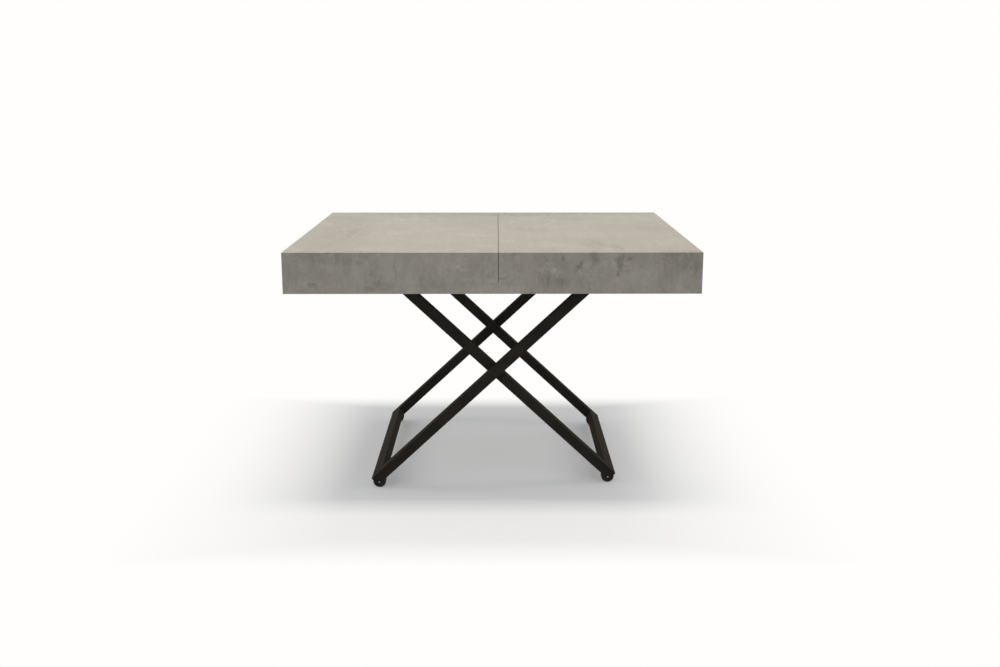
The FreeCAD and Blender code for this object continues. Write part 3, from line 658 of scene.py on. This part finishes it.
# %% [markdown]
# ## Dressing the nodes
# The frame arrives with plain stand-in materials named after the record's slots, so a look-up from
# slot to finish dresses all pieces in one loop. Corners get a small bevel, because no real edge is
# a perfect line. The imported corners are split, so they are welded first, or nothing would bevel.

# %% Finishes and bevels on every node
FINISHES = {
    "concrete_board": concrete_laminate(),
    "black_steel": powder_coat(),
    "zinc_steel": zinc_plate(),
    "aluminium": drawn_aluminium(),
    "black_nylon": black_nylon(),
    "grey_felt": needle_felt(),
    "beech": raw_beech(),
}
BEVELS = {
    "concrete_board": 0.0007,
    "black_steel": 0.0008,
    "zinc_steel": 0.0003,
    "aluminium": 0.0002,
    "black_nylon": 0.0004,
    "grey_felt": 0.0005,
    "beech": 0.0006,
}
WELD_REACH = 0.00002
BEVEL_ANGLE = math.radians(32.0)
BEVEL_STEPS = 2
edge_finish = eased_edge()


def dress(node, slot):
    """Gives a node its finish and eased corners. The mesh below stays as it was packed."""
    node.material_slots[0].material = FINISHES[slot]
    weld = node.modifiers.new("weld_split_corners", "WELD")
    weld.merge_threshold = WELD_REACH
    bevel = node.modifiers.new("eased_corners", "BEVEL")
    bevel.width = BEVELS[slot]
    bevel.segments = BEVEL_STEPS
    bevel.limit_method = "ANGLE"
    bevel.angle_limit = BEVEL_ANGLE
    if slot == "concrete_board":
        node.data.materials.append(edge_finish)
        bevel.material = 1
    node.modifiers.new("even_shading", "WEIGHTED_NORMAL")


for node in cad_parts.values():
    dress(node, node.material_slots[0].material.name)
print("dressed", len(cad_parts), "nodes")

# %% [markdown]
# ## Felt pads under the stored leaf
# Felt is soft, so a hard block would look wrong: a pad has rounded corners, sides that bulge a
# little under the weight, and a surface with fibres. A cloth simulation would give the same bulge
# with far more work. Here each pad is a stack of rounded outlines, drawn in at its two faces.

# %% Boxes of the pads
def solids(node):
    """The lowest and highest corners of each separate solid in a node."""
    mesh = bmesh.new()
    mesh.from_mesh(node.data)
    bmesh.ops.remove_doubles(mesh, verts=mesh.verts, dist=WELD_REACH)
    left = set(mesh.verts)
    boxes = []
    while left:
        island = [left.pop()]
        for vertex in island:
            near = {edge.other_vert(vertex) for edge in vertex.link_edges} & left
            left -= near
            island.extend(near)
        corners = [tuple(vertex.co) for vertex in island]
        boxes.append((Vector(map(min, zip(*corners))), Vector(map(max, zip(*corners)))))
    mesh.free()
    return sorted(boxes, key=lambda pair: tuple(pair[0]))


pad_boxes = solids(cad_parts["leaf_pads"])
print("a pad measures", [round(value, 4) for value in pad_boxes[0][1] - pad_boxes[0][0]], "m")

# %% Felt pads
PAD_CORNER = 0.005
PAD_DRAWN_IN = 0.0006
PAD_RINGS = ((0.0, PAD_DRAWN_IN), (0.3, 0.0), (0.7, 0.0), (1.0, PAD_DRAWN_IN))
CORNER_STEPS = 6


def rounded_outline(low, high, inset):
    """Points round a rectangle with arcs at its corners, drawn in by inset."""
    points = []
    radius = PAD_CORNER - inset
    corners = ((high.x, high.y), (low.x, high.y), (low.x, low.y), (high.x, low.y))
    for quarter, (x, y) in enumerate(corners):
        centre_x = x - math.copysign(PAD_CORNER, x - (low.x + high.x) / 2)
        centre_y = y - math.copysign(PAD_CORNER, y - (low.y + high.y) / 2)
        for step in range(CORNER_STEPS + 1):
            angle = math.pi / 2 * (quarter + step / CORNER_STEPS)
            x_share, y_share = math.cos(angle), math.sin(angle)
            points.append((centre_x + radius * x_share, centre_y + radius * y_share))
    return points


def felt_pads(name, boxes):
    mesh = bmesh.new()
    for low, high in boxes:
        rings = []
        for share, inset in PAD_RINGS:
            height = low.z + share * (high.z - low.z)
            outline = rounded_outline(low, high, inset)
            rings.append([mesh.verts.new((x, y, height)) for x, y in outline])
        for lower, upper in zip(rings, rings[1:]):
            for index in range(len(lower)):
                after = (index + 1) % len(lower)
                mesh.faces.new((lower[index], lower[after], upper[after], upper[index]))
        mesh.faces.new(list(reversed(rings[0])))
        mesh.faces.new(rings[-1])
    data = bpy.data.meshes.new(name)
    mesh.to_mesh(data)
    mesh.free()
    data.materials.append(FINISHES["grey_felt"])
    piece = bpy.data.objects.new(name, data)
    scene.collection.objects.link(piece)
    return piece


pads = felt_pads("felt_pads", pad_boxes)
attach(pads, "top_frame")
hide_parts("leaf_pads")
print(len(pad_boxes), "felt pads")

# %% [markdown]
# ## Floor and backdrop
# The picture has a white ground that keeps only a soft shadow. Lighting a floor until it clips would
# also bleach the table. Instead the floor is a plain pale surface that hands over to even white
# further out, and the world is white wherever the camera, a mirror or glass looks at it. First come
# the few shader nodes that both need.

# %% Helpers for floor and world
WHITE = (1.0, 0.99, 0.975, 1.0)


def math_node(tree, operation, first, second=0.0):
    node = tree.nodes.new("ShaderNodeMath")
    node.operation = operation
    plug(tree, first, node.inputs[0])
    plug(tree, second, node.inputs[1])
    return node.outputs["Value"]


def seen_directly(tree):
    """1 for rays that show the background: from the camera, off gloss or through glass."""
    path = tree.nodes.new("ShaderNodeLightPath")
    total = path.outputs["Is Camera Ray"]
    for kind in ("Is Glossy Ray", "Is Transmission Ray"):
        total = math_node(tree, "MAXIMUM", total, path.outputs[kind])
    return total


def mix_shaders(tree, share, first, second):
    mixed = tree.nodes.new("ShaderNodeMixShader")
    plug(tree, share, mixed.inputs["Fac"])
    plug(tree, first, mixed.inputs[1])
    plug(tree, second, mixed.inputs[2])
    return mixed.outputs["Shader"]


print("white of the ground:", WHITE[:3])

# %% [markdown]
# ## The floor's surface
# The table stands in a field that fades out slowly to both sides and quickly to the front and back.
# A round fade is the usual choice, but this shadow is a band. Each axis therefore has a fade of its
# own, and the stronger one wins. Seen from below the floor is clear, so that the mechanism shows.

# %% Floor finish
# Centre of the field on each axis, and the distances from it where the fade starts and ends
FADE_ALONG = (-0.03, 0.41, 1.02)
FADE_ACROSS = (-0.1025, 0.5025, 0.6325)
FLOOR_SHADED_SHARE = 0.84
FLOOR_PALE = (0.95, 0.95, 0.95, 1.0)
FLOOR_BOUNCE = (0.40, 0.415, 0.425, 1.0)


def diffuse(tree, colour):
    node = tree.nodes.new("ShaderNodeBsdfDiffuse")
    node.inputs["Color"].default_value = colour
    return node.outputs["BSDF"]


def white_glow(tree):
    node = tree.nodes.new("ShaderNodeEmission")
    node.inputs["Color"].default_value = WHITE
    return node.outputs["Emission"]


def fade(tree, place, centre, starts, ends):
    """0 up to the distance starts from centre along one axis, rising to 1 at ends."""
    reach = math_node(tree, "ABSOLUTE", math_node(tree, "SUBTRACT", place, centre))
    rise = tree.nodes.new("ShaderNodeMapRange")
    plug(tree, reach, rise.inputs["Value"])
    rise.inputs["From Min"].default_value = starts
    rise.inputs["From Max"].default_value = ends
    return rise.outputs["Result"]


def floor_material():
    material = bpy.data.materials.new("studio_floor")
    material.use_nodes = True
    tree = material.node_tree
    tree.nodes.clear()
    place = tree.nodes.new("ShaderNodeSeparateXYZ")
    plug(tree, tree.nodes.new("ShaderNodeTexCoord").outputs["Object"], place.inputs["Vector"])
    along = fade(tree, place.outputs["X"], *FADE_ALONG)
    across = fade(tree, place.outputs["Y"], *FADE_ACROSS)
    away = math_node(tree, "MAXIMUM", along, across)
    glow = white_glow(tree)
    near = mix_shaders(tree, FLOOR_SHADED_SHARE, glow, diffuse(tree, FLOOR_PALE))
    shown = mix_shaders(tree, away, near, glow)
    above = mix_shaders(tree, seen_directly(tree), diffuse(tree, FLOOR_BOUNCE), shown)
    side = tree.nodes.new("ShaderNodeNewGeometry").outputs["Backfacing"]
    below = tree.nodes.new("ShaderNodeBsdfTransparent").outputs["BSDF"]
    output = tree.nodes.new("ShaderNodeOutputMaterial")
    plug(tree, mix_shaders(tree, side, above, below), output.inputs["Surface"])
    return material


print("floor is white from", FADE_ALONG[2], "m along and", FADE_ACROSS[2], "m across")

# %% Floor
FLOOR_HALF_SIZE = 14.0

floor_data = bpy.data.meshes.new("floor")
square = ((-1, -1), (1, -1), (1, 1), (-1, 1))
corners = [(x * FLOOR_HALF_SIZE, y * FLOOR_HALF_SIZE, 0.0) for x, y in square]
floor_data.from_pydata(corners, [], [(0, 1, 2, 3)])
floor_data.materials.append(floor_material())
floor = bpy.data.objects.new("floor", floor_data)
scene.collection.objects.link(floor)
print("floor reaches", FLOOR_HALF_SIZE, "m to each side")

# %% [markdown]
# ## Light
# The shadow of the top has soft ends but a crisp front and back, so the main light was a long narrow
# strip overhead. Faint streaks run inward from the wheels, so low soft boxes stood at both sides. A
# sun lamp is round and would blur all edges alike. Rectangular area lamps have the right shapes.
# The other half of the light is an even world, which keeps the skirt and the legs readable.

# %% Lamps and world
STRIP_PLACE = (0.0, -0.38, 8.0)
STRIP_SIZE = (4.0, 1.1)
STRIP_POWER = 202.0
SIDE_PLACE = (3.0, 0.0, 1.4)
SIDE_SIZE = (1.0, 0.8)
SIDE_POWER = 15.0
SIDE_AIM = math.radians(66.0)
LAMP_TINT = (1.04, 1.0, 0.95)
WORLD_SHARE = 0.52
WORLD_TINT = (0.970, 1.0, 1.03, 1.0)


def area_lamp(name, place, turn, size, power):
    """A soft box of the given sizes, facing down until turned about the front-to-back axis."""
    data = bpy.data.lights.new(name, "AREA")
    data.shape = "RECTANGLE"
    data.size, data.size_y = size
    data.energy = power
    data.color = LAMP_TINT
    lamp = bpy.data.objects.new(name, data)
    lamp.location = place
    lamp.rotation_euler.y = turn
    lamp.visible_camera = False
    scene.collection.objects.link(lamp)


area_lamp("overhead_strip", STRIP_PLACE, 0.0, STRIP_SIZE, STRIP_POWER)
for name, side in (("left_box", -1), ("right_box", 1)):
    place = (side * SIDE_PLACE[0], SIDE_PLACE[1], SIDE_PLACE[2])
    area_lamp(name, place, side * SIDE_AIM, SIDE_SIZE, SIDE_POWER)

world = bpy.data.worlds.new("studio")
scene.world = world
world.use_nodes = True
tree = world.node_tree
tree.nodes.clear()
fill = tree.nodes.new("ShaderNodeBackground")
fill.inputs["Color"].default_value = WORLD_TINT
fill.inputs["Strength"].default_value = WORLD_SHARE
backdrop = tree.nodes.new("ShaderNodeBackground")
backdrop.inputs["Color"].default_value = WHITE
shades = (fill.outputs["Background"], backdrop.outputs["Background"])
sky = mix_shaders(tree, seen_directly(tree), *shades)
plug(tree, sky, tree.nodes.new("ShaderNodeOutputWorld").inputs["Surface"])
strip_share = STRIP_POWER / (math.pi * (STRIP_PLACE[2] - TOP)) ** 2
print("light on the top: strip", round(strip_share, 2), "and world", WORLD_SHARE)
